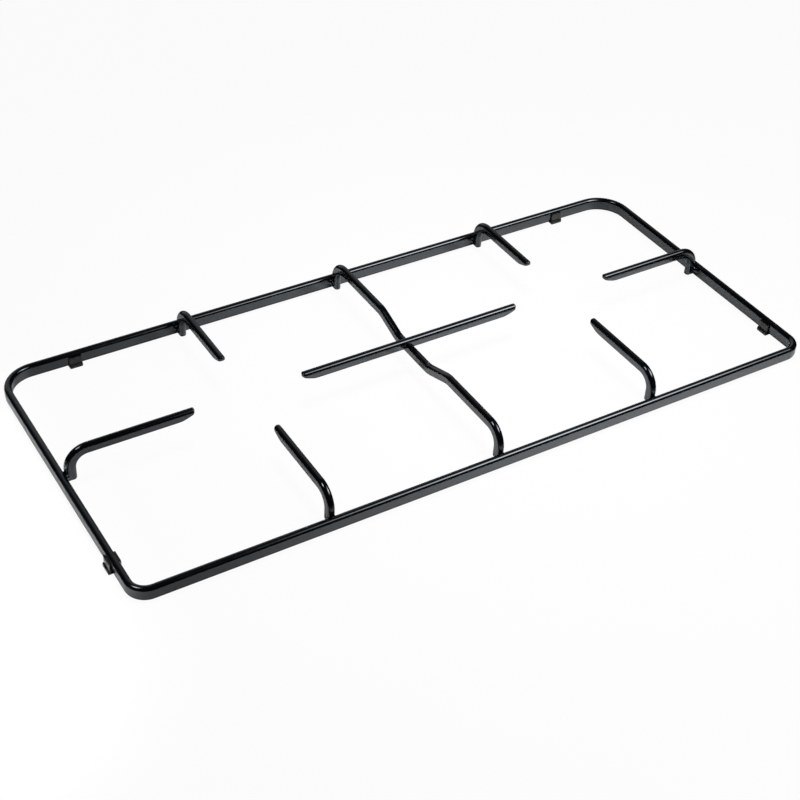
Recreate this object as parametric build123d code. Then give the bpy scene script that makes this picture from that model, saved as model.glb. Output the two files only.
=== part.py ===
from build123d import *
import math
import os

# Pan support for two burners of a gas hob: a ring of flat wire, bars welded to its inside that rise to
# one pan plane, and rubber feet clipped to the ring. X runs along the support, +Y to the rear, +Z up.
# The origin lies under the middle of the ring, on the surface that the feet stand on. All in millimetres.

# Outer frame: one flat wire on edge, bent into a ring
frame_length = 480.2
frame_width = 217.0
frame_bar_width = 4.7
frame_bar_height = 9.4
front_corner_radius = 12.8
rear_corner_radius = 23.2

# Bars that carry the pans, their bends and the ends of their legs
bar_width = 4.7
bar_height = 7.3
bend_inner_radius = 7.6
leg_end_lift = 2.6
pan_plane_height = 26.5

# Wire: how far its round upper edge stands above the flat sides, and the break of its lower edges
crown_rise = 1.95
edge_chamfer = 1.35

# Burners: their spacing, how far they lie behind the frame's middle, and the circle that the tips leave free
burner_pitch = 232.0
burner_setback = 1.4
burner_clear_radius = 36.3

# Tips: the underside sweeps up to a low end, which is rounded over its top and in plan
tip_taper_length = 18.0
tip_end_height = 3.0
tip_nose_radius = 1.4
tip_plan_radius = 2.9

# Joggle of the cross bar, in which the long bar lies flush with the pan plane, a little ahead of the middle
joggle_floor_length = 37.2
joggle_ramp_length = 22.0
joggle_bend_radius = 16.9
joggle_lead = 1.7

# Feet: a pad under the frame, walls that grip the bar and a flare from the walls to the pad's rim
foot_length = 8.6
foot_pad_thickness = 1.0
foot_rim_height = 2.2
foot_flare = 0.8
foot_flare_height = 1.0
foot_wall = 1.25
foot_wall_height = 7.1
foot_grip_gap = 0.05
foot_edge_chamfer = 0.4
rear_foot_inset = 51.8
front_foot_inset = 33.8

# Levels and places that follow from these sizes
frame_bottom = foot_pad_thickness
frame_middle = frame_bottom + frame_bar_height / 2
leg_bottom = frame_bottom + leg_end_lift
run_middle = pan_plane_height - bar_height / 2
run_bottom = pan_plane_height - bar_height
bend_radius = bend_inner_radius + bar_height / 2
inside_x = frame_length / 2 - frame_bar_width
inside_y = frame_width / 2 - frame_bar_width
rail_x = frame_length / 2 - frame_bar_width / 2
rail_y = frame_width / 2 - frame_bar_width / 2
burner_x = burner_pitch / 2
side_reach = inside_x - burner_x - burner_clear_radius
rear_reach = inside_y - burner_setback - burner_clear_radius
front_reach = inside_y + burner_setback - burner_clear_radius
long_bar_reach = burner_x - burner_clear_radius
rear_foot_x = frame_length / 2 - rear_foot_inset
front_foot_y = front_foot_inset - frame_width / 2


def flat_wire(width, height):
    """Section of a flat wire that stands on edge: round on top (+Y), with broken lower corners."""
    half = width / 2
    top = height / 2
    crown = ThreePointArc((half, top - crown_rise), (0, top), (-half, top - crown_rise))
    below = Polyline(
        crown @ 1,
        (-half, edge_chamfer - top),
        (edge_chamfer - half, -top),
        (half - edge_chamfer, -top),
        (half, edge_chamfer - top),
        crown @ 0,
    )
    return make_face(crown + below)


def outer_frame():
    """The ring of wire, along the middle line of its plan."""
    inset = frame_bar_width / 2
    plan = Rectangle(frame_length - frame_bar_width, frame_width - frame_bar_width)
    plan = fillet(plan.vertices().group_by(Axis.Y)[0], front_corner_radius - inset)
    plan = fillet(plan.vertices().group_by(Axis.Y)[-1], rear_corner_radius - inset)
    path = Pos(0, 0, frame_middle) * plan.wire()
    along = path % 0
    start = Plane(path @ 0, x_dir=Vector(0, 0, 1).cross(along), z_dir=along)
    return sweep(start * flat_wire(frame_bar_width, frame_bar_height), path)


def bent_bar(centre_line, inwards):
    """A bar along a line in X and Z that starts up a leg, whose lower edge faces +X (1) or -X (-1)."""
    path = Plane.XZ * centre_line
    start = Plane(path @ 0, x_dir=(0, inwards, 0), z_dir=(0, 0, 1))
    return sweep(start * flat_wire(bar_width, bar_height), path)


def round_tip(reach):
    """What is cut away round a tip: the space under an arc that leaves the underside, and over the nose."""
    rise = bar_height - tip_end_height
    arc_radius = (tip_taper_length**2 + rise**2) / (2 * rise)
    arc_turn = math.degrees(math.asin(tip_taper_length / arc_radius))
    arc = CenterArc((reach - tip_taper_length, run_bottom + arc_radius), arc_radius, 270, arc_turn)
    lower_corner = (reach, run_bottom)
    below = make_face([arc, Line(arc @ 1, lower_corner), Line(lower_corner, arc @ 0)])
    nose = CenterArc((reach - tip_nose_radius, pan_plane_height - tip_nose_radius), tip_nose_radius, 0, 90)
    upper_corner = (reach, pan_plane_height)
    above = make_face([nose, Line(nose @ 1, upper_corner), Line(upper_corner, nose @ 0)])
    return extrude(Plane.XZ * (below + above), bar_width, both=True)


def within_tips(reach):
    """What a bar keeps in plan: ends rounded at this reach on both sides of X = 0, and more than its width."""
    return extrude(SlotOverall(2 * reach, 2 * tip_plan_radius), pan_plane_height + bar_height)


def finger(reach):
    """A finger along +X: the back of its leg is on X = 0, where the rail's inside face will be."""
    leg_middle = bar_height / 2
    centre_line = FilletPolyline(
        (leg_middle, leg_bottom),
        (leg_middle, run_middle),
        (reach, run_middle),
        radius=bend_radius,
    )
    return (bent_bar(centre_line, 1) - round_tip(reach)) & within_tips(reach)


def long_bar():
    """The straight bar between the burners, with a tip at each end."""
    section = Pos(0, run_middle) * flat_wire(bar_width, bar_height)
    bar = extrude(Plane.YZ * section, long_bar_reach, both=True)
    relief = round_tip(long_bar_reach)
    return (bar - relief - mirror(relief, about=Plane.YZ)) & within_tips(long_bar_reach)


def cross_bar():
    """The bridge from the front rail to the rear rail, with its joggle in the middle."""
    leg_middle = inside_y - bar_height / 2
    joggle_middle = run_middle - bar_height
    floor_end = joggle_floor_length / 2
    ramp_end = floor_end + joggle_ramp_length
    centre_line = FilletPolyline(
        (leg_middle, leg_bottom),
        (leg_middle, run_middle),
        (ramp_end - joggle_lead, run_middle),
        (floor_end - joggle_lead, joggle_middle),
        (-floor_end - joggle_lead, joggle_middle),
        (-ramp_end - joggle_lead, run_middle),
        (-leg_middle, run_middle),
        (-leg_middle, leg_bottom),
        radius=[bend_radius] + 4 * [joggle_bend_radius] + [bend_radius],
    )
    return Rot(0, 0, 90) * bent_bar(centre_line, -1)


def foot():
    """A foot on a rail along X: a moulding with one section all along, its rim broken."""
    grip = frame_bar_width / 2 + foot_grip_gap
    wall = grip + foot_wall
    rim = wall + foot_flare
    wall_top = foot_pad_thickness + foot_wall_height
    half = Polyline(
        (0, 0),
        (rim, 0),
        (rim, foot_rim_height),
        (wall, foot_rim_height + foot_flare_height),
        (wall, wall_top),
        (grip, wall_top),
        (grip, foot_pad_thickness),
        (0, foot_pad_thickness),
    )
    section = make_face(half + mirror(half, about=Plane.YZ))
    solid = extrude(Plane.YZ * section, foot_length / 2, both=True)
    return chamfer(solid.faces().sort_by(Axis.Z)[0].edges(), foot_edge_chamfer)


parts = {
    "outer_frame": outer_frame(),
    "cross_bar": cross_bar(),
    "long_bar": Pos(0, burner_setback) * long_bar(),
    "left_finger": Pos(-inside_x, burner_setback) * finger(side_reach),
    "right_finger": Pos(inside_x, burner_setback) * Rot(0, 0, 180) * finger(side_reach),
}
for side, sign in (("left", -1), ("right", 1)):
    parts[f"rear_{side}_finger"] = Pos(sign * burner_x, inside_y) * Rot(0, 0, -90) * finger(rear_reach)
    parts[f"front_{side}_finger"] = Pos(sign * burner_x, -inside_y) * Rot(0, 0, 90) * finger(front_reach)
    parts[f"rear_{side}_foot"] = Pos(sign * rear_foot_x, rail_y) * foot()
    parts[f"front_{side}_foot"] = Pos(sign * rail_x, front_foot_y) * Rot(0, 0, 90) * foot()

os.makedirs("parts", exist_ok=True)
for name, solid in parts.items():
    export_step(solid, f"parts/{name}.step")
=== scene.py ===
"""Looks of a hob pan support: black enamelled bars, weld seams and rubber feet, on a white studio floor."""

import math

import bmesh
import bpy
from bpy.props import FloatProperty, FloatVectorProperty, IntProperty, PointerProperty
from mathutils import Matrix, Vector


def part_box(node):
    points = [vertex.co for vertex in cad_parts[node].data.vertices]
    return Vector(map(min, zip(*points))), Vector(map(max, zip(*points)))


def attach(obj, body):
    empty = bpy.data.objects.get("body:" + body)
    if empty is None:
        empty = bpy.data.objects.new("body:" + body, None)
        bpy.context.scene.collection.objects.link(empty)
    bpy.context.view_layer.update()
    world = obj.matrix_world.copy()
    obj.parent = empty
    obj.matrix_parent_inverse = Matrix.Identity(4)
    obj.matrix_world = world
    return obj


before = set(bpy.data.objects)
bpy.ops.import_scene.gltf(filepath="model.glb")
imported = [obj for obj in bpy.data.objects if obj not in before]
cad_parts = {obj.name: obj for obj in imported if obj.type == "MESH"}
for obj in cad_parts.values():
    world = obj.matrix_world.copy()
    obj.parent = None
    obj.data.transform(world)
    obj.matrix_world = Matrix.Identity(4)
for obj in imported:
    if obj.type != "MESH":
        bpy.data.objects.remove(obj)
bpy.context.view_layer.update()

bl_info = {
    "name": "Hob Pan Support",
    "version": (1, 0, 0),
    "blender": (4, 5, 0),
    "location": "3D View > Sidebar > Pan Support",
    "description": "Enamels a pan support, adds its weld seams and rubber, and sets it on a studio floor",
    "category": "Object",
}

PLAIN_ENDED = ("outer_frame", "cross_bar")
TIPPED_BARS = (
    "left_finger",
    "right_finger",
    "rear_left_finger",
    "rear_right_finger",
    "front_left_finger",
    "front_right_finger",
    "long_bar",
)
FEET = ("rear_left_foot", "rear_right_foot", "front_left_foot", "front_right_foot")

# Each weld's bar, and the way in plan, in degrees from +X, in which that bar leaves the rail
WELDS = {
    "left_finger_weld": ("left_finger", 0),
    "right_finger_weld": ("right_finger", 180),
    "rear_left_finger_weld": ("rear_left_finger", -90),
    "rear_right_finger_weld": ("rear_right_finger", -90),
    "front_left_finger_weld": ("front_left_finger", 90),
    "front_right_finger_weld": ("front_right_finger", 90),
    "cross_bar_front_weld": ("cross_bar", 90),
    "cross_bar_rear_weld": ("cross_bar", -90),
}

# Two vertices closer than this, in metres, are one
SAME_PLACE = 1e-5

# Faces that turn by less than the first angle are joined, and edges that turn by more than the second rounded
FLAT_TURN = math.radians(0.4)
SHARP_TURN = math.radians(36)

# Points on the floor that the softboxes face
FRONT_AIM = (0.63, -0.55, 0)
UPPER_AIM = (0, 0, 0)
SIDE_AIM = (-0.37, 0, 0)

# Grey ramps, as stops of a place and a level: haze in the enamel, bloom on the rubber, the painted shade by
# which the floor is darkened as glossy surfaces mirror it, from straight above to a low slant, and a softbox
# from its middle to its edges
HAZE_STOPS = ((0.4, 0), (0.7, 1))
BLOOM_STOPS = ((0.35, 0), (0.75, 1))
MIRRORED_SHADE_STOPS = ((0.1, 0.75), (0.36, 0), (0.45, 0), (0.72, 1))
FADE_STOPS = ((0, 1), (0.12, 0.85), (0.24, 0.5), (0.36, 0.2), (0.5, 0))


class Socket:
    """A node's output, on which Python's operators add Math nodes."""

    def __init__(self, shader, socket):
        self.shader = shader
        self.socket = socket

    def __add__(self, other):
        return self.shader.math("ADD", self, other)

    def __radd__(self, other):
        return self.shader.math("ADD", other, self)

    def __sub__(self, other):
        return self.shader.math("SUBTRACT", self, other)

    def __rsub__(self, other):
        return self.shader.math("SUBTRACT", other, self)

    def __mul__(self, other):
        return self.shader.math("MULTIPLY", self, other)

    def __rmul__(self, other):
        return self.shader.math("MULTIPLY", other, self)


class Shader:
    """The nodes of one material, of a lamp or of the world."""

    def __init__(self, owner):
        owner.use_nodes = True
        self.tree = owner.node_tree
        self.tree.nodes.clear()

    def node(self, kind, settings=None, sockets=None, output=0):
        """Adds a node, sets it up, fills or links its sockets, and gives one of its outputs."""
        node = self.tree.nodes.new(kind)
        for name, value in (settings or {}).items():
            if name == "stops":
                self.set_stops(node.color_ramp, value)
            else:
                setattr(node, name, value)
        for name, value in (sockets or {}).items():
            if isinstance(value, Socket):
                self.tree.links.new(value.socket, node.inputs[name])
            else:
                node.inputs[name].default_value = value
        return Socket(self, node.outputs[output]) if node.outputs else None

    def set_stops(self, ramp, stops):
        """Gives a ramp these grey stops, each a place and a level."""
        while len(ramp.elements) > len(stops):
            ramp.elements.remove(ramp.elements[-1])
        while len(ramp.elements) < len(stops):
            ramp.elements.new(1)
        for element, (place, level) in zip(ramp.elements, stops):
            element.position = place
            element.color = (level, level, level, 1)

    def math(self, operation, first, second):
        return self.node("ShaderNodeMath", {"operation": operation}, {0: first, 1: second})

    def vector_math(self, operation, first, second):
        """A Vector Math node whose result is a number."""
        return self.node("ShaderNodeVectorMath", {"operation": operation}, {0: first, 1: second}, "Value")

    def mix_colour(self, factor, first, second):
        """A colour between two. The Mix node's sockets share their names, so they go by number."""
        return self.node("ShaderNodeMix", {"data_type": "RGBA"}, {0: factor, 6: first, 7: second}, 2)

    def noise(self, place, grain, detail):
        """Noise whose blotches are about this long, in metres."""
        return self.node("ShaderNodeTexNoise", {}, {"Vector": place, "Scale": 1 / grain, "Detail": detail})

    def ramp(self, value, stops):
        return self.node("ShaderNodeValToRGB", {"stops": stops}, {"Fac": value})

    def bump(self, height):
        """The normal of a surface with this height, in metres."""
        return self.node("ShaderNodeBump", {}, {"Distance": 1, "Height": height})

    def light_path(self, kind):
        """1 for rays of this kind, such as Is Camera Ray, and 0 for the others."""
        return self.node("ShaderNodeLightPath", output=kind)


class EnamelSettings(bpy.types.PropertyGroup):
    """Black glass enamel on the frame, the bars and the welds"""

    colour: FloatVectorProperty(
        name="Colour",
        description="Black of the glass enamel",
        default=(0.0011, 0.0016, 0.0023),
        subtype="COLOR",
        min=0,
        max=1,
    )
    haze_colour: FloatVectorProperty(
        name="Haze colour",
        description="Slightly lighter black where the enamel lies thin",
        default=(0.0021, 0.0028, 0.0037),
        subtype="COLOR",
        min=0,
        max=1,
    )
    haze_length: FloatProperty(
        name="Haze length",
        description="Length of the places where the enamel lies thin",
        default=0.02,
        unit="LENGTH",
    )
    shine_colour: FloatVectorProperty(
        name="Shine colour",
        description="Cool tint of what the enamel mirrors",
        default=(0.86, 0.93, 1.0),
        subtype="COLOR",
        min=0,
        max=1,
    )
    density: FloatProperty(
        name="Density",
        description="Refractive index of the glass enamel",
        default=1.78,
        min=1,
    )
    roughness: FloatProperty(
        name="Roughness",
        description="Roughness of the glossy enamel",
        default=0.11,
        min=0,
        max=1,
        subtype="FACTOR",
    )
    roughness_spread: FloatProperty(
        name="Roughness spread",
        description="How much the roughness changes from place to place",
        default=0.09,
        min=0,
        max=1,
        subtype="FACTOR",
    )
    flow_length: FloatProperty(
        name="Flow length",
        description="Length of the waves in which the enamel flowed before it set",
        default=0.006,
        unit="LENGTH",
    )
    flow_depth: FloatProperty(
        name="Flow depth",
        description="Depth of those waves",
        default=0.00004,
        unit="LENGTH",
    )
    peel_length: FloatProperty(
        name="Peel length",
        description="Length of the fine orange peel",
        default=0.0011,
        unit="LENGTH",
    )
    peel_depth: FloatProperty(
        name="Peel depth",
        description="Depth of the fine orange peel",
        default=0.000004,
        unit="LENGTH",
    )
    edge_radius: FloatProperty(
        name="Edge radius",
        description="Rounding on the lower edges of the frame and the cross bar",
        default=0.0009,
        unit="LENGTH",
    )
    edge_segments: IntProperty(
        name="Edge segments",
        description="Faces across a rounded edge",
        default=4,
        min=1,
    )
    melt_grain: FloatProperty(
        name="Melt grain",
        description="Size of the even faces that a bar with tips is remade from",
        default=0.0004,
        unit="LENGTH",
    )
    melt_rounds: IntProperty(
        name="Melt rounds",
        description="How often those faces are smoothed, which rounds the edges and the tips",
        default=8,
        min=0,
    )


class WeldSettings(bpy.types.PropertyGroup):
    """Hollow weld seams between the legs and the rails"""

    throat_radius: FloatProperty(
        name="Throat radius",
        description="Radius of the hollow seam between a leg and its rail",
        default=0.0022,
        unit="LENGTH",
    )
    throat_segments: IntProperty(
        name="Throat segments",
        description="Faces across the hollow of a seam",
        default=8,
        min=1,
    )
    low_end: FloatProperty(
        name="Low end",
        description="Height at which the full seam begins",
        default=0.0044,
        unit="LENGTH",
    )
    high_end: FloatProperty(
        name="High end",
        description="Height at which the full seam ends",
        default=0.0074,
        unit="LENGTH",
    )
    run_out: FloatProperty(
        name="Run-out",
        description="Length in which the seam thins away at both ends",
        default=0.0014,
        unit="LENGTH",
    )
    run_out_share: FloatProperty(
        name="Run-out share",
        description="Share of the seam's size that is left at its very ends",
        default=0.3,
        min=0,
        max=1,
        subtype="FACTOR",
    )
    root_depth: FloatProperty(
        name="Root depth",
        description="Depth in the rail, in throat radii, of the line that the ends shrink towards",
        default=1 / 15,
        min=0,
    )
    root_side: FloatProperty(
        name="Root side",
        description="How far that line lies from the leg's middle, as a share of the leg's half width",
        default=0.65,
        min=0,
        max=1,
        subtype="FACTOR",
    )
    skin: FloatProperty(
        name="Skin",
        description="Thickness of the seam behind its surface",
        default=0.0003,
        unit="LENGTH",
    )


class RubberSettings(bpy.types.PropertyGroup):
    """Black moulded rubber of the feet"""

    colour: FloatVectorProperty(
        name="Colour",
        description="Black of the rubber",
        default=(0.0024, 0.003, 0.0036),
        subtype="COLOR",
        min=0,
        max=1,
    )
    bloom_colour: FloatVectorProperty(
        name="Bloom colour",
        description="Grey bloom on the rubber's skin",
        default=(0.0052, 0.006, 0.0068),
        subtype="COLOR",
        min=0,
        max=1,
    )
    bloom_length: FloatProperty(
        name="Bloom length",
        description="Length of the places with bloom",
        default=0.004,
        unit="LENGTH",
    )
    roughness: FloatProperty(
        name="Roughness",
        description="Roughness of the moulded rubber",
        default=0.26,
        min=0,
        max=1,
        subtype="FACTOR",
    )
    roughness_spread: FloatProperty(
        name="Roughness spread",
        description="How much rougher the rubber is where it has bloom",
        default=0.12,
        min=0,
        max=1,
        subtype="FACTOR",
    )
    density: FloatProperty(
        name="Density",
        description="Refractive index of the rubber's smooth skin",
        default=1.65,
        min=1,
    )
    grain_length: FloatProperty(
        name="Grain length",
        description="Size of the moulded grain",
        default=0.0005,
        unit="LENGTH",
    )
    grain_depth: FloatProperty(
        name="Grain depth",
        description="Depth of the moulded grain",
        default=0.000006,
        unit="LENGTH",
    )
    edge_radius: FloatProperty(
        name="Edge radius",
        description="Rounding of the foot's edges",
        default=0.0003,
        unit="LENGTH",
    )
    edge_segments: IntProperty(
        name="Edge segments",
        description="Faces across a rounded edge",
        default=2,
        min=1,
    )


class StageSettings(bpy.types.PropertyGroup):
    """Floor, room, lamps and camera"""

    floor_radius: FloatProperty(
        name="Floor radius",
        description="Radius of the studio floor",
        default=40,
        unit="LENGTH",
    )
    floor_segments: IntProperty(
        name="Floor segments",
        description="Sides of the studio floor's rim",
        default=96,
        min=3,
    )
    floor_colour: FloatVectorProperty(
        name="Floor colour",
        description="Colour of the studio floor",
        default=(0.86, 0.86, 0.86),
        subtype="COLOR",
        min=0,
        max=1,
    )
    # Painted shade: the dark colour that the floor takes where glossy surfaces mirror it at a low slant or
    # nearly straight below
    mirrored_shade_colour: FloatVectorProperty(
        name="Slant colour",
        description="Colour of the floor where glossy surfaces mirror it at a low slant",
        default=(0.02, 0.02, 0.02),
        subtype="COLOR",
        min=0,
        max=1,
    )
    sheen_share: FloatProperty(
        name="Sheen share",
        description="Share of soft gloss in the floor",
        default=0.3,
        min=0,
        max=1,
        subtype="FACTOR",
    )
    sheen_roughness: FloatProperty(
        name="Sheen roughness",
        description="Roughness of the floor's soft gloss",
        default=0.5,
        min=0,
        max=1,
        subtype="FACTOR",
    )
    seen_white: FloatProperty(
        name="Seen white",
        description="Share of plain white in the floor as the camera sees it",
        default=0.95,
        min=0,
        max=1,
        subtype="FACTOR",
    )
    mirrored_white: FloatProperty(
        name="Mirrored white",
        description="Share of plain white in the floor as glossy surfaces mirror it",
        default=0.02,
        min=0,
        max=1,
        subtype="FACTOR",
    )
    room_level: FloatProperty(
        name="Room level",
        description="Brightness of the dim room above the floor",
        default=0.009,
        min=0,
    )
    backdrop_way: FloatVectorProperty(
        name="Backdrop direction",
        description="Direction of the pale backdrop behind the object",
        default=(0.2, 0.95, 0.2),
        subtype="DIRECTION",
    )
    backdrop_level: FloatProperty(
        name="Backdrop level",
        description="Brightness of the pale backdrop",
        default=0.36,
        min=0,
    )
    backdrop_rim: FloatProperty(
        name="Backdrop rim",
        description="Cosine of the angle off its direction at which the backdrop begins",
        default=0.73,
        min=0,
        max=1,
    )
    backdrop_core: FloatProperty(
        name="Backdrop core",
        description="Cosine of the angle off its direction within which the backdrop is at its full level",
        default=0.9,
        min=0,
        max=1,
    )
    front_place: FloatVectorProperty(
        name="Front softbox",
        description="Place of the softbox in front, to the right of the camera",
        default=(0.63, -0.55, 0.85),
        subtype="TRANSLATION",
    )
    front_size: FloatVectorProperty(
        name="Front size",
        description="Width and height of the front softbox",
        default=(1.0, 0.95),
        size=2,
        unit="LENGTH",
    )
    front_power: FloatProperty(
        name="Front power",
        description="Power of the front softbox",
        default=33,
        min=0,
        unit="POWER",
    )
    upper_place: FloatVectorProperty(
        name="Upper softbox",
        description="Place of the softbox above, to the left",
        default=(-0.65, 0.05, 1.0),
        subtype="TRANSLATION",
    )
    upper_size: FloatVectorProperty(
        name="Upper size",
        description="Width and height of the upper softbox",
        default=(0.3, 0.4),
        size=2,
        unit="LENGTH",
    )
    upper_power: FloatProperty(
        name="Upper power",
        description="Power of the upper softbox",
        default=2.8,
        min=0,
        unit="POWER",
    )
    side_place: FloatVectorProperty(
        name="Side lamp",
        description="Place of the lamp that lights the floor at the left",
        default=(-0.37, 0, 0.5),
        subtype="TRANSLATION",
    )
    side_size: FloatVectorProperty(
        name="Side size",
        description="Width and height of the side lamp",
        default=(0.12, 0.3),
        size=2,
        unit="LENGTH",
    )
    side_spread: FloatProperty(
        name="Side spread",
        description="Spread of the side lamp's beam",
        default=math.radians(25),
        subtype="ANGLE",
    )
    side_power: FloatProperty(
        name="Side power",
        description="Power of the lamp that lights the floor at the left",
        default=1.8,
        min=0,
        unit="POWER",
    )
    pool_place: FloatVectorProperty(
        name="Pool lamp",
        description="Place of the lamp above that lights the floor under the object",
        default=(0.05, -0.02, 0.9),
        subtype="TRANSLATION",
    )
    pool_radius: FloatProperty(
        name="Pool radius",
        description="Radius of the pool lamp, which softens its shadows",
        default=0.2,
        unit="LENGTH",
    )
    pool_cone: FloatProperty(
        name="Pool cone",
        description="Opening angle of the pool lamp's cone, which is soft all over",
        default=math.radians(41),
        subtype="ANGLE",
    )
    pool_power: FloatProperty(
        name="Pool power",
        description="Power of the lamp that lights the floor under the object",
        default=44,
        min=0,
        unit="POWER",
    )
    camera_place: FloatVectorProperty(
        name="Camera place",
        description="Place of the camera",
        default=(-0.43391, -0.65309, 0.6102),
        subtype="TRANSLATION",
    )
    camera_turn: FloatVectorProperty(
        name="Camera turn",
        description="Rotation of the camera",
        default=(math.radians(50.9426), math.radians(-2.665), math.radians(-30.99)),
        subtype="EULER",
    )
    camera_lens: FloatProperty(
        name="Camera lens",
        description="Focal length on a square sensor",
        default=69.002,
        unit="CAMERA",
    )
    camera_sensor: FloatProperty(
        name="Camera sensor",
        description="Width of the square sensor",
        default=36,
        unit="CAMERA",
    )


def enamel_material(settings):
    """Black glass enamel, one for bars and welds: glossy, with flow waves, orange peel and a little haze."""
    material = bpy.data.materials.get("black_enamel")
    if material is not None:
        return material
    material = bpy.data.materials.new("black_enamel")
    shader = Shader(material)
    place = shader.node("ShaderNodeTexCoord", output="Object")
    flow = shader.noise(place, settings.flow_length, detail=1)
    peel = shader.noise(place, settings.peel_length, detail=3)
    haze = shader.ramp(shader.noise(place, settings.haze_length, detail=4), HAZE_STOPS)
    height = settings.flow_depth * flow + settings.peel_depth * peel
    surface = shader.node(
        "ShaderNodeBsdfPrincipled",
        {},
        {
            "Base Color": shader.mix_colour(haze, (*settings.colour, 1), (*settings.haze_colour, 1)),
            "Roughness": settings.roughness + settings.roughness_spread * haze * peel,
            "Normal": shader.bump(height),
            "IOR": settings.density,
            "Specular Tint": (*settings.shine_colour, 1),
        },
    )
    shader.node("ShaderNodeOutputMaterial", {}, {"Surface": surface})
    return material


def rubber_material(settings):
    """Black moulded rubber with a smooth skin, a fine grain and a grey bloom."""
    material = bpy.data.materials.new("black_rubber")
    shader = Shader(material)
    place = shader.node("ShaderNodeTexCoord", output="Object")
    grain = shader.noise(place, settings.grain_length, detail=3)
    bloom = shader.ramp(shader.noise(place, settings.bloom_length, detail=4), BLOOM_STOPS)
    surface = shader.node(
        "ShaderNodeBsdfPrincipled",
        {},
        {
            "Base Color": shader.mix_colour(bloom, (*settings.colour, 1), (*settings.bloom_colour, 1)),
            "Roughness": settings.roughness + settings.roughness_spread * bloom * grain,
            "Normal": shader.bump(settings.grain_depth * grain),
            "IOR": settings.density,
        },
    )
    shader.node("ShaderNodeOutputMaterial", {}, {"Surface": surface})
    return material


def paint(piece, material):
    piece.data.materials.clear()
    piece.data.materials.append(material)


def merge_faces(piece):
    """Joins the loose faces of a node, in a modifier that leaves its mesh alone."""
    merge = piece.modifiers.new("merge_faces", "WELD")
    merge.merge_threshold = SAME_PLACE


def melt_edges(piece, grain, rounds):
    """Rounds a node all over, tips too, in modifiers that leave its mesh alone."""
    merge_faces(piece)
    grid = piece.modifiers.new("even_faces", "REMESH")
    grid.mode = "VOXEL"
    grid.voxel_size = grain
    grid.use_smooth_shade = True
    melt = piece.modifiers.new("melt_edges", "SMOOTH")
    melt.iterations = rounds


def round_edges(piece, radius, segments):
    """Joins a node's flat faces and rounds its sharp edges, in modifiers that leave its mesh alone."""
    merge_faces(piece)
    flats = piece.modifiers.new("join_flats", "DECIMATE")
    flats.decimate_type = "DISSOLVE"
    flats.angle_limit = FLAT_TURN
    edges = piece.modifiers.new("round_edges", "BEVEL")
    edges.width = radius
    edges.segments = segments
    edges.profile = 0.5
    edges.limit_method = "ANGLE"
    edges.angle_limit = SHARP_TURN
    edges.material = -1
    edges.use_clamp_overlap = False
    piece.modifiers.new("even_normals", "WEIGHTED_NORMAL")


class PANSUPPORT_OT_bars(bpy.types.Operator):
    """Enamels the frame and the bars, and rounds their edges"""

    bl_idname = "pan_support.bars"
    bl_label = "Enamel Bars"

    def execute(self, context):
        enamel = context.scene.pan_enamel
        material = enamel_material(enamel)
        for name in PLAIN_ENDED:
            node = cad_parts[name]
            paint(node, material)
            round_edges(node, enamel.edge_radius, enamel.edge_segments)
        for name in TIPPED_BARS:
            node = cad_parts[name]
            paint(node, material)
            melt_edges(node, enamel.melt_grain, enamel.melt_rounds)
        return {"FINISHED"}


def half_seam(shape, weld, half_width):
    """One hollow seam, from a rail at X = 0 round to the side of a leg along +X, thin at both ends."""
    radius = weld.throat_radius
    outer = half_width + radius
    low = shape.verts.new((0, outer, weld.low_end))
    high = shape.verts.new((0, outer, weld.high_end))
    line = shape.edges.new((low, high))
    bmesh.ops.spin(
        shape,
        geom=[low, high, line],
        cent=(radius, outer, 0),
        axis=(0, 0, 1),
        angle=math.radians(90),
        steps=weld.throat_segments,
    )
    root = Vector((-weld.root_depth * radius, weld.root_side * half_width, 0))
    share = weld.run_out_share
    for end, way in ((weld.high_end, 1), (weld.low_end, -1)):
        rim = [edge for edge in shape.edges if all(abs(vert.co.z - end) < SAME_PLACE for vert in edge.verts)]
        grown = bmesh.ops.extrude_edge_only(shape, edges=rim)["geom"]
        tips = [item for item in grown if isinstance(item, bmesh.types.BMVert)]
        bmesh.ops.scale(shape, vec=(share, share, 1), space=Matrix.Translation(-root), verts=tips)
        bmesh.ops.translate(shape, vec=(0, 0, way * weld.run_out), verts=tips)


def seam_mesh(name, weld, half_width, seat):
    """The seams on both sides of a leg, as closed skins, moved to where that leg meets its rail."""
    shape = bmesh.new()
    half_seam(shape, weld, half_width)
    bmesh.ops.solidify(shape, geom=shape.faces[:], thickness=weld.skin)
    bmesh.ops.mirror(shape, geom=shape.verts[:] + shape.edges[:] + shape.faces[:], axis="Y")
    bmesh.ops.recalc_face_normals(shape, faces=shape.faces[:])
    for face in shape.faces:
        face.smooth = True
    bmesh.ops.transform(shape, matrix=seat, verts=shape.verts[:])
    mesh = bpy.data.meshes.new(name)
    shape.to_mesh(mesh)
    shape.free()
    return mesh


class PANSUPPORT_OT_welds(bpy.types.Operator):
    """Adds the enamelled weld seams between the rails and the legs"""

    bl_idname = "pan_support.welds"
    bl_label = "Weld Seams"

    def execute(self, context):
        weld = context.scene.pan_weld
        material = enamel_material(context.scene.pan_enamel)
        for name, (bar, degrees) in WELDS.items():
            low, high = (Vector(corner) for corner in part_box(bar))
            middle = (low + high) / 2
            half = (high - low) / 2
            turn = math.radians(degrees)
            along = Vector((math.cos(turn), math.sin(turn), 0))
            half_width = abs(along.y) * half.x + abs(along.x) * half.y
            place = Vector((middle.x - along.x * half.x, middle.y - along.y * half.y, 0))
            seat = Matrix.Translation(place) @ Matrix.Rotation(turn, 4, "Z")
            piece = bpy.data.objects.new(name, seam_mesh(name, weld, half_width, seat))
            context.scene.collection.objects.link(piece)
            paint(piece, material)
            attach(piece, "root")
        return {"FINISHED"}


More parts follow.
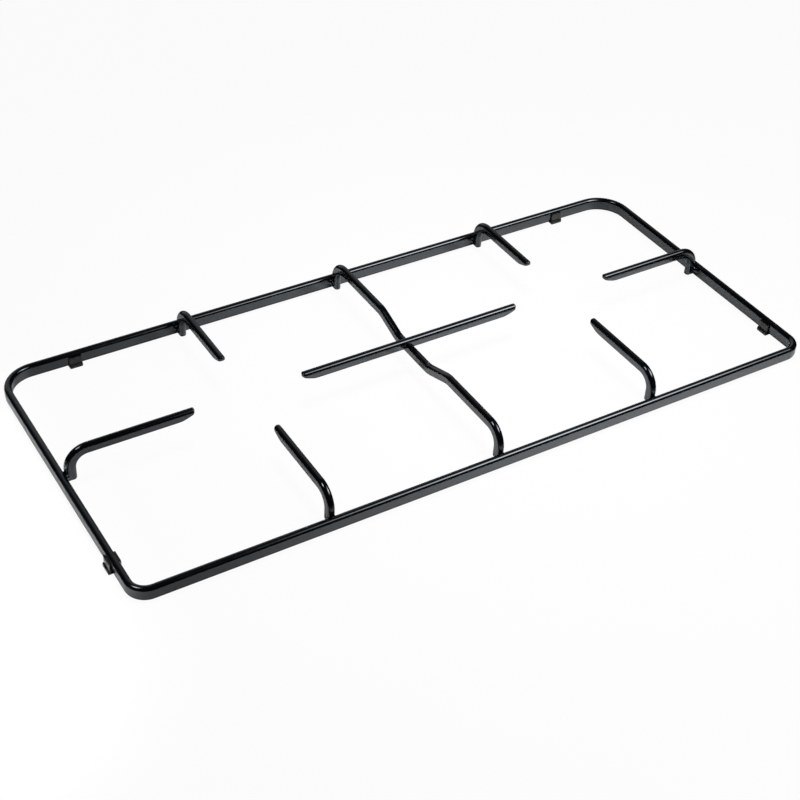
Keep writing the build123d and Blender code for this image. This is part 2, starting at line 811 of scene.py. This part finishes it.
class PANSUPPORT_OT_feet(bpy.types.Operator):
    """Gives the feet their rubber, and rounds their edges"""

    bl_idname = "pan_support.feet"
    bl_label = "Rubber Feet"

    def execute(self, context):
        rubber = context.scene.pan_rubber
        material = rubber_material(rubber)
        for name in FEET:
            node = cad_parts[name]
            paint(node, material)
            round_edges(node, rubber.edge_radius, rubber.edge_segments)
        return {"FINISHED"}


def add_softbox(name, place, aim, size, power):
    """A rectangular softbox that faces a point."""
    light = bpy.data.lights.new(name, "AREA")
    light.shape = "RECTANGLE"
    light.size, light.size_y = size
    light.energy = power
    lamp = bpy.data.objects.new(name, light)
    lamp.location = place
    lamp.rotation_euler = (Vector(aim) - Vector(place)).to_track_quat("-Z", "Y").to_euler()
    bpy.context.scene.collection.objects.link(lamp)
    return lamp


def fade_edges(light):
    """Lets a softbox, whose own coordinates run from 0 to 1, fade from its middle to its edges."""
    shader = Shader(light)
    spot = shader.node("ShaderNodeNewGeometry", output="Parametric")
    middle = (0.5, 0.5, 0)
    glow = shader.ramp(shader.vector_math("DISTANCE", spot, middle), FADE_STOPS)
    emission = shader.node("ShaderNodeEmission", {}, {"Color": glow, "Strength": 1})
    shader.node("ShaderNodeOutputLight", {}, {"Surface": emission})


def add_pool_lamp(settings):
    """A soft spot that lights the floor and shows in no reflection."""
    light = bpy.data.lights.new("pool_lamp", "SPOT")
    light.energy = settings.pool_power
    light.shadow_soft_size = settings.pool_radius
    light.spot_size = settings.pool_cone
    light.spot_blend = 1
    lamp = bpy.data.objects.new("pool_lamp", light)
    lamp.location = settings.pool_place
    lamp.visible_glossy = False
    bpy.context.scene.collection.objects.link(lamp)


def add_lamps(settings):
    """The fading softbox in front, the one above that only glints, and two lamps for the floor."""
    front = add_softbox(
        "front_softbox", settings.front_place, FRONT_AIM, settings.front_size, settings.front_power
    )
    fade_edges(front.data)
    upper = add_softbox(
        "upper_softbox", settings.upper_place, UPPER_AIM, settings.upper_size, settings.upper_power
    )
    upper.visible_diffuse = False
    side = add_softbox("side_lamp", settings.side_place, SIDE_AIM, settings.side_size, settings.side_power)
    side.data.spread = settings.side_spread
    side.visible_glossy = False
    add_pool_lamp(settings)


def floor_material(settings):
    """Pale floor that takes the object's shadow and is seen as white; where glossy surfaces mirror it, its
    colour carries painted shade, darker at a low slant and nearly straight below.
    """
    material = bpy.data.materials.new("studio_floor")
    shader = Shader(material)
    camera = shader.light_path("Is Camera Ray")
    glossy = shader.light_path("Is Glossy Ray")
    through = shader.light_path("Is Transmission Ray")
    slant = shader.node("ShaderNodeLayerWeight", output="Facing")
    # Painted shade: for glossy rays the floor's colour is darkened by the ray's slant, at a low slant and
    # nearly straight below
    painted_shade = glossy * shader.ramp(slant, MIRRORED_SHADE_STOPS)
    white = settings.seen_white * (camera + through) + settings.mirrored_white * (glossy - painted_shade)
    colour = shader.mix_colour(painted_shade, (*settings.floor_colour, 1), (*settings.mirrored_shade_colour, 1))
    matt = shader.node("ShaderNodeBsdfDiffuse", {}, {"Color": colour})
    sheen = shader.node(
        "ShaderNodeBsdfGlossy", {}, {"Color": colour, "Roughness": settings.sheen_roughness}
    )
    lit = shader.node("ShaderNodeMixShader", {}, {0: settings.sheen_share, 1: matt, 2: sheen})
    plain = shader.node("ShaderNodeEmission", {}, {"Color": (1, 1, 1, 1), "Strength": 1})
    surface = shader.node("ShaderNodeMixShader", {}, {0: white, 1: lit, 2: plain})
    shader.node("ShaderNodeOutputMaterial", {}, {"Surface": surface})
    return material


def add_floor(settings):
    """A round floor, wide enough to fill the picture."""
    shape = bmesh.new()
    bmesh.ops.create_circle(
        shape, cap_ends=True, segments=settings.floor_segments, radius=settings.floor_radius
    )
    mesh = bpy.data.meshes.new("studio_floor")
    shape.to_mesh(mesh)
    shape.free()
    mesh.materials.append(floor_material(settings))
    floor = bpy.data.objects.new("studio_floor", mesh)
    bpy.context.scene.collection.objects.link(floor)


def set_room(settings):
    """A dim room with a pale backdrop behind the object, seen by the camera as white."""
    world = bpy.data.worlds.new("studio_room")
    bpy.context.scene.world = world
    shader = Shader(world)
    direction = shader.node("ShaderNodeTexCoord", output="Generated")
    nearness = shader.vector_math("DOT_PRODUCT", direction, Vector(settings.backdrop_way).normalized())
    stops = ((settings.backdrop_rim, 0), (settings.backdrop_core, settings.backdrop_level))
    camera = shader.light_path("Is Camera Ray")
    level = camera + (1 - camera) * (settings.room_level + shader.ramp(nearness, stops))
    background = shader.node("ShaderNodeBackground", {}, {"Color": (1, 1, 1, 1), "Strength": level})
    shader.node("ShaderNodeOutputWorld", {}, {"Surface": background})


def add_camera(settings):
    """The camera of the photograph."""
    lens = bpy.data.cameras.new("photo_camera")
    lens.sensor_width = settings.camera_sensor
    lens.lens = settings.camera_lens
    camera = bpy.data.objects.new("photo_camera", lens)
    camera.location = settings.camera_place
    camera.rotation_euler = settings.camera_turn
    bpy.context.scene.collection.objects.link(camera)
    bpy.context.scene.camera = camera


class PANSUPPORT_OT_stage(bpy.types.Operator):
    """Adds the floor, the lamps, the room and the camera"""

    bl_idname = "pan_support.stage"
    bl_label = "Studio Stage"

    def execute(self, context):
        stage = context.scene.pan_stage
        add_floor(stage)
        add_lamps(stage)
        set_room(stage)
        add_camera(stage)
        context.scene.view_settings.view_transform = "Standard"
        return {"FINISHED"}


class PANSUPPORT_PT_sidebar(bpy.types.Panel):
    """Lists the steps of the pan support's finish, and their settings"""

    bl_idname = "PANSUPPORT_PT_sidebar"
    bl_label = "Pan Support"
    bl_space_type = "VIEW_3D"
    bl_region_type = "UI"
    bl_category = "Pan Support"

    def draw(self, context):
        for operator in OPERATORS:
            self.layout.operator(operator.bl_idname)
        for group in GROUPS:
            settings = getattr(context.scene, group)
            box = self.layout.box()
            for name in settings.__annotations__:
                box.prop(settings, name)


OPERATORS = (PANSUPPORT_OT_bars, PANSUPPORT_OT_welds, PANSUPPORT_OT_feet, PANSUPPORT_OT_stage)
GROUPS = {
    "pan_enamel": EnamelSettings,
    "pan_weld": WeldSettings,
    "pan_rubber": RubberSettings,
    "pan_stage": StageSettings,
}
CLASSES = (*GROUPS.values(), *OPERATORS, PANSUPPORT_PT_sidebar)


def register():
    for cls in CLASSES:
        bpy.utils.register_class(cls)
    for name, group in GROUPS.items():
        setattr(bpy.types.Scene, name, PointerProperty(type=group))


def unregister():
    for name in GROUPS:
        delattr(bpy.types.Scene, name)
    for cls in reversed(CLASSES):
        bpy.utils.unregister_class(cls)


def main():
    register()
    bpy.ops.pan_support.bars()
    bpy.ops.pan_support.welds()
    bpy.ops.pan_support.feet()
    bpy.ops.pan_support.stage()


if __name__ == "__main__":
    main()
